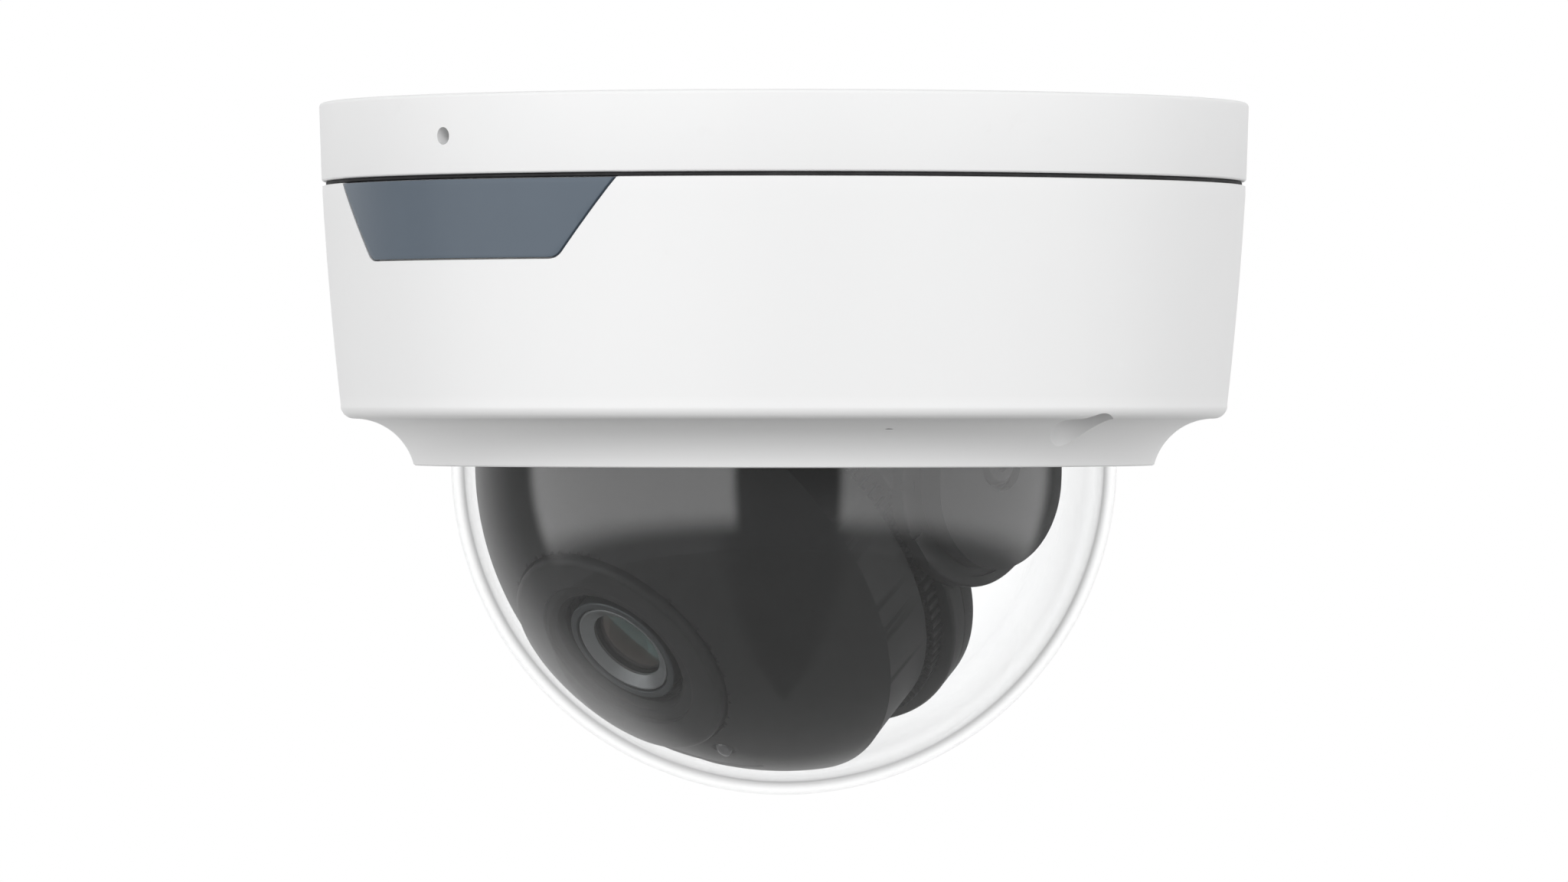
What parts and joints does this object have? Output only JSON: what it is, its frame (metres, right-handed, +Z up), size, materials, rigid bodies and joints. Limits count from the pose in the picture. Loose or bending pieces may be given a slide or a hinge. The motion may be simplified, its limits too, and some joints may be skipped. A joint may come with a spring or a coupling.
{
  "type": "dome security camera",
  "caption": "Round ceiling-mounted dome security camera: white base and cover with a clear dome round a black eyeball that pans, tilts and rotates.",
  "frame": {"origin": "centre of the flat back of the base, which lies on the ceiling", "axes": "+Z up out of the flat back into the ceiling; -Y is the front, with the badge, the microphone hole and the lens; +X along the tilt axis and the line of the two cover screws"},
  "size_m": [0.109, 0.109, 0.081],
  "materials": {
    "white_paint": "satin white powder coat",
    "white_plastic": "satin moulded",
    "slate_plastic": "satin",
    "black_rubber": "matte",
    "silver_metal": "tinned",
    "circuit_board": "solder mask",
    "chip_black": "matte",
    "grey_pad": "matte",
    "washer_plastic": "smooth acetal",
    "black_plastic": "fine satin",
    "reset_plastic": "smooth",
    "steel": "zinc plated",
    "clear_dome": "polished clear polycarbonate",
    "sensor_window": "smoked",
    "black_anodised": "black anodised",
    "grey_anodised": "grey anodised",
    "lens_glass": "coated",
    "filter_glass": "coated"
  },
  "bodies": {
    "base": {"base_casting": "white_paint", "seam_gasket": "black_rubber", "cable_grommet": "black_rubber", "mic_boot": "black_rubber", "mic_capsule": "silver_metal", "main_board": "circuit_board", "processor": "chip_black", "thermal_pad": "grey_pad", "rj45_jack": "silver_metal", "poe_transformer": "chip_black", "microsd_socket": "silver_metal", "capacitor": "silver_metal", "reset_switch": "chip_black", "inner_liner": "black_plastic", "board_screw_1": "steel", "board_screw_2": "steel", "board_screw_3": "steel", "pan_base": "black_plastic", "pan_base_screw_1": "steel", "pan_base_screw_2": "steel", "pan_washer": "washer_plastic", "pan_retainer": "steel"},
    "reset": {"reset_button": "reset_plastic"},
    "cover": {"cover_shell": "white_plastic", "badge_plate": "slate_plastic", "dome_bubble": "clear_dome", "dome_gasket": "black_rubber", "dome_clamp_ring": "black_plastic", "clamp_screw_1": "steel", "clamp_screw_2": "steel", "clamp_screw_3": "steel", "cover_screw_right": "steel", "cover_screw_left": "steel"},
    "pan_yoke": {"yoke": "black_plastic", "tilt_screw_right": "steel", "tilt_screw_left": "steel", "tilt_washer_right": "washer_plastic", "tilt_washer_left": "washer_plastic"},
    "tilt_cradle": {"rear_shell": "black_plastic", "rotation_ring": "black_plastic", "rear_bush": "black_rubber"},
    "lens_ball": {"front_shell": "black_plastic", "light_sensor_window": "sensor_window", "lens_bezel": "black_plastic", "foam_ring": "black_rubber", "lens_barrel": "black_anodised", "lens_retaining_ring": "grey_anodised", "front_element": "lens_glass", "middle_element": "lens_glass", "rear_element": "lens_glass", "focus_lock_ring": "steel", "lens_holder": "black_plastic", "lens_carrier": "black_plastic", "holder_screw_right": "steel", "holder_screw_left": "steel", "sensor_board": "circuit_board", "image_sensor": "chip_black"},
    "filter_slide": {"filter_frame": "black_plastic", "ir_cut_filter": "filter_glass", "clear_filter": "filter_glass"}
  },
  "joints": [
    {"name": "cover_lift_off", "type": "slide", "parent": "base", "child": "cover", "axis": [0, 0, -1], "range_m": [0, 0.06]},
    {"name": "reset_press", "type": "slide", "parent": "base", "child": "reset", "axis": [0, 0, 1], "range_m": [0, 0.0003], "stiffness_N_per_m": 800},
    {"name": "pan", "type": "hinge", "parent": "base", "child": "pan_yoke", "pos_m": [0, 0, -0.042], "axis": [0, 0, 1], "range_deg": [-175, 175]},
    {"name": "tilt", "type": "hinge", "parent": "pan_yoke", "child": "tilt_cradle", "pos_m": [0, 0, -0.042], "axis": [1, 0, 0], "range_deg": [-30, 50]},
    {"name": "rotation", "type": "hinge", "parent": "tilt_cradle", "child": "lens_ball", "pos_m": [0, 0, -0.042], "axis": [0, -0.7716, -0.6361], "range_deg": [-175, 175]},
    {"name": "day_night_filter", "type": "slide", "parent": "lens_ball", "child": "filter_slide", "axis": [1, 0, 0], "range_m": [0, 0.0084]}
  ]
}
